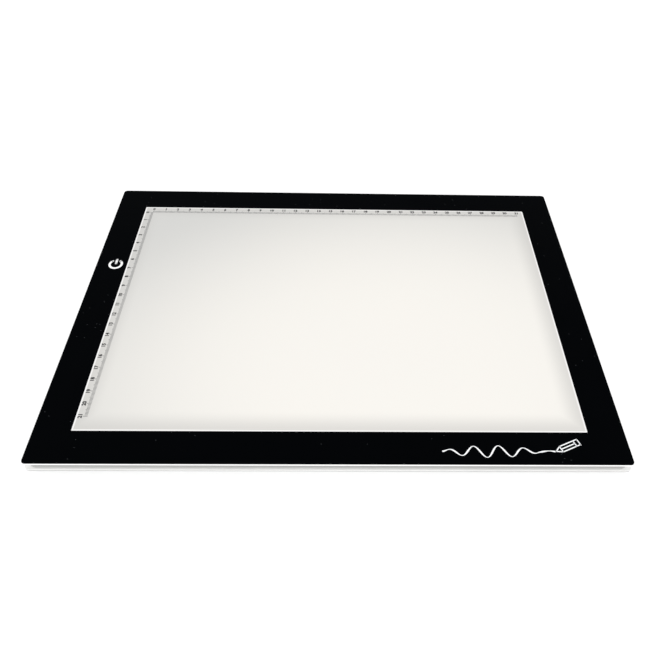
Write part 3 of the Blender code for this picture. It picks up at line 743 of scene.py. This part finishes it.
def make_rulers():
    """Centimetre rulers along the window's back and left edges."""
    half_x, half_y = window_half
    ticks = print_material("tick print", (0.08, 0.08, 0.09))
    ink = print_material("digit print", (0.012, 0.012, 0.015))

    def on_back(along, inward):
        return (-half_x + RULER_START.x + along, half_y - inward)

    def on_left(along, inward):
        return (-half_x + inward, half_y - RULER_START.y - along)

    flat_print("ruler_ticks_back", tick_polygons(BACK_RULER_CM, on_back), window_top, ticks)
    flat_print("ruler_ticks_left", tick_polygons(LEFT_RULER_CM, on_left), window_top, ticks)
    lift = window_top + PRINT_LIFT + PRINT_THICKNESS / 2
    for name, count, place, turn in (
        ("ruler_digits_back", BACK_RULER_CM, on_back, 0.0),
        ("ruler_digits_left", LEFT_RULER_CM, on_left, math.pi / 2),
    ):
        made = []
        for i in range(count + 1):
            x, y = place(10 * i * MM, DIGIT_CENTRE)
            made.append(digits(f"{name}_{i}", i, Vector((x, y, lift)), turn))
        join_as(name, made, ink)


def stroke_polygons(points, width):
    """Short quads along a line of points, with a width for each point or for all."""
    widths = width if isinstance(width, list) else [width] * len(points)
    sides = []
    for i, point in enumerate(points):
        before, after = points[max(0, i - 1)], points[min(len(points) - 1, i + 1)]
        along = (Vector(after) - Vector(before)).normalized()
        across = Vector((-along.y, along.x)) * widths[i] / 2
        sides.append((Vector(point) + across, Vector(point) - across))
    return [[a[0], a[1], b[1], b[0]] for a, b in zip(sides, sides[1:])]


def disc(centre, radius, sides=DISC_SIDES):
    return [(centre[0] + x, centre[1] + y) for x, y in ring_points(radius, sides)]


def make_power_symbol():
    """The touch key's mark: a ring open at its back, with a bar in the gap."""
    low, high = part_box("border_overlay")
    centre = Vector((low.x + KEY_FROM_LEFT, high.y - KEY_FROM_BACK))
    start = math.pi / 2 + KEY_GAP
    arc = []
    for i in range(KEY_STEPS + 1):
        turn = start + i / KEY_STEPS * (2 * math.pi - 2 * KEY_GAP)
        arc.append((centre.x + KEY_RADIUS * math.cos(turn), centre.y + KEY_RADIUS * math.sin(turn)))
    polygons = stroke_polygons(arc, KEY_STROKE)
    polygons += [disc(arc[0], KEY_STROKE / 2), disc(arc[-1], KEY_STROKE / 2)]
    bar = [(centre.x, centre.y + end) for end in KEY_BAR]
    polygons += stroke_polygons(bar, KEY_STROKE)
    polygons += [disc(point, KEY_STROKE / 2) for point in bar]
    white = print_material("white print", (0.97, 0.97, 0.97))
    flat_print("power_symbol", polygons, high.z, white)


def make_ornament():
    """A plain pencil that draws a wave, in the front border at the right."""
    low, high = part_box("border_overlay")
    middle_y = (low.y - window_half[1]) / 2
    thin, thick = WAVE_WIDTHS
    wave, widths = [], []
    for i in range(WAVE_STEPS + 1):
        t = i / WAVE_STEPS
        swell = max(WAVE_LEAST_SWELL, math.sin(math.pi * min(1, WAVE_FADE * t)) ** WAVE_SWELL_POWER)
        phase = 2 * math.pi * WAVE_COUNT * t
        x = WAVE_START_X + (WAVE_END_X - WAVE_START_X) * t
        wave.append((x, middle_y - WAVE_DROP + WAVE_HEIGHT * swell * math.sin(phase)))
        widths.append(thin + (thick - thin) * (0.5 + 0.5 * math.cos(2 * phase)))
    polygons = stroke_polygons(wave, widths) + pencil_polygons(Vector(wave[-1]))
    white = print_material("ornament print", (0.96, 0.97, 0.98))
    flat_print("pencil_ornament", polygons, high.z, white)


def pencil_polygons(tip):
    """The lines of a pencil whose point is by the tip."""
    along = Vector((math.cos(PENCIL_TILT), math.sin(PENCIL_TILT)))
    across = Vector((-along.y, along.x))

    def at(far, side):
        point = tip + along * far * MM + across * side * MM
        return (point.x, point.y)

    half, end_half = PENCIL_HALF, PENCIL_END_HALF
    ridge = (PENCIL_SHOULDER + PENCIL_RIDGE_GAP, PENCIL_BAND - PENCIL_RIDGE_GAP)
    outlines = (
        [at(PENCIL_POINT, 0), at(PENCIL_SHOULDER, half), at(PENCIL_END, half)],
        [at(PENCIL_POINT, 0), at(PENCIL_SHOULDER, -half), at(PENCIL_END, -half)],
        [at(PENCIL_SHOULDER, half), at(PENCIL_SHOULDER, -half)],
        [at(PENCIL_END, end_half), at(PENCIL_END, -end_half)],
        [at(PENCIL_BAND, half), at(PENCIL_BAND, -half)],
        [at(ridge[0], 0), at(ridge[1], 0)],
    )
    polygons = []
    for outline in outlines:
        for a, b in zip(outline, outline[1:]):
            polygons += stroke_polygons([a, b], PENCIL_LINE)
            polygons.append(disc(b, PENCIL_LINE / 2, BLOB_SIDES))
    return polygons


# ---------------------------------------------------------------- the inside
def dress_inside():
    """Materials for the CAD nodes that are shown as they are, by how their names start."""
    metal = plain("contact metal", (0.72, 0.69, 0.60), (0.82, 0.79, 0.70), 0.24, metallic=1.0, grain=2000.0)
    chip = plain("chip black", (0.02, 0.02, 0.02), (0.03, 0.03, 0.03), 0.50)
    capacitor = plain("capacitor", (0.50, 0.36, 0.16), (0.58, 0.43, 0.20), 0.45)
    socket = plain("socket", (0.80, 0.78, 0.68), (0.87, 0.85, 0.76), 0.45)
    inside = {
        "tape": plain("tape", (0.62, 0.60, 0.54), (0.72, 0.70, 0.64), 0.80),
        "diffuser_sheet": plain("diffuser film", (0.86, 0.86, 0.86), (0.91, 0.91, 0.91), 0.60),
        "reflector_sheet": plain("reflector film", (0.86, 0.86, 0.86), (0.93, 0.93, 0.93), 0.40),
        "light_guide_plate": plain("light guide", (0.80, 0.88, 0.88), (0.84, 0.92, 0.92), 0.08),
        "led_strip": plain("strip board", (0.80, 0.80, 0.76), (0.86, 0.86, 0.82), 0.45),
        "control_board": plain("solder mask", (0.02, 0.15, 0.06), (0.03, 0.20, 0.09), 0.35),
        "touch_chip": chip,
        "driver_chip": chip,
        "driver_inductor": plain("ferrite", (0.09, 0.09, 0.10), (0.13, 0.13, 0.14), 0.60),
        "input_capacitor": capacitor,
        "output_capacitor": capacitor,
        "back_strip_socket": socket,
        "front_strip_socket": socket,
        "red_lead": plain("red wire", (0.50, 0.02, 0.02), (0.58, 0.03, 0.03), 0.40),
        "black_lead": plain("black wire", (0.015, 0.015, 0.015), (0.022, 0.022, 0.022), 0.40),
        "touch_spring": metal,
        "jack_sprung_contact": metal,
    }
    for name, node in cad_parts.items():
        found = [material for start, material in inside.items() if name.startswith(start)]
        if found:
            node.data.materials.clear()
            node.data.materials.append(found[0])


# ---------------------------------------------------------------- the set
def make_stage():
    """A white table that glows a little, a white room and two soft lights."""
    middle = (0, 0, -FLOOR_THICKNESS / 2)
    floor = cone("floor", middle, FLOOR_RADIUS, FLOOR_RADIUS, FLOOR_THICKNESS, sides=FLOOR_SIDES)
    surface = Surface("white table").set(Specular_IOR_Level=0.0, Roughness=0.9)
    surface.set(Emission_Color=(1, 1, 1), Emission_Strength=0.16)
    surface.colour(surface.mix(surface.noise(3.0), (0.88, 0.88, 0.88), (0.89, 0.89, 0.89)))
    floor.data.materials.append(surface.material)
    world = bpy.data.worlds.new("white room")
    bpy.context.scene.world = world
    world.use_nodes = True
    background = world.node_tree.nodes["Background"]
    background.inputs["Color"].default_value = (1, 1, 1, 1)
    background.inputs["Strength"].default_value = 1.0
    for name, place, energy, size in (
        ("key light", Vector((0.4, -1.6, 1.0)), 9.0, 1.6),
        ("fill light", Vector((-1.2, 0.6, 1.2)), 2.0, 1.4),
    ):
        data = bpy.data.lights.new(name, "AREA")
        data.energy = energy
        data.size = size
        light = linked(name, data)
        light.location = place
        light.rotation_euler = (-place).to_track_quat("-Z", "Y").to_euler()


def make_camera():
    data = bpy.data.cameras.new("camera")
    data.lens = CAMERA_LENS
    data.sensor_width = 36
    data.shift_x = CAMERA_SHIFT_X
    data.shift_y = CAMERA_SHIFT_Y
    data.clip_start = 0.01
    data.clip_end = 100
    camera = linked("camera", data)
    a, e, roll = CAMERA_AZIMUTH, CAMERA_ELEVATION, CAMERA_ROLL
    back = Vector((math.sin(a) * math.cos(e), -math.cos(a) * math.cos(e), math.sin(e)))
    right = (-back).cross(Vector((0, 0, 1))).normalized()
    up = right.cross(-back)
    across = right * math.cos(roll) - up * math.sin(roll)
    upward = right * math.sin(roll) + up * math.cos(roll)
    turn = Matrix((across, upward, back)).transposed().to_4x4()
    camera.matrix_world = Matrix.Translation(CAMERA_PLACE) @ turn
    bpy.context.scene.camera = camera


diffuser_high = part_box("diffuser_sheet")[1]
window_half = (diffuser_high.x - GUIDE_OVERLAP, diffuser_high.y - GUIDE_OVERLAP)
window_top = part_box("top_panel")[1].z - SKIN_DROP
make_panel()
make_frame_rails()
make_cover()
make_feet()
make_screws()
make_jack()
make_rulers()
make_power_symbol()
make_ornament()
dress_inside()
make_stage()
make_camera()
bpy.context.scene.view_settings.view_transform = "Standard"
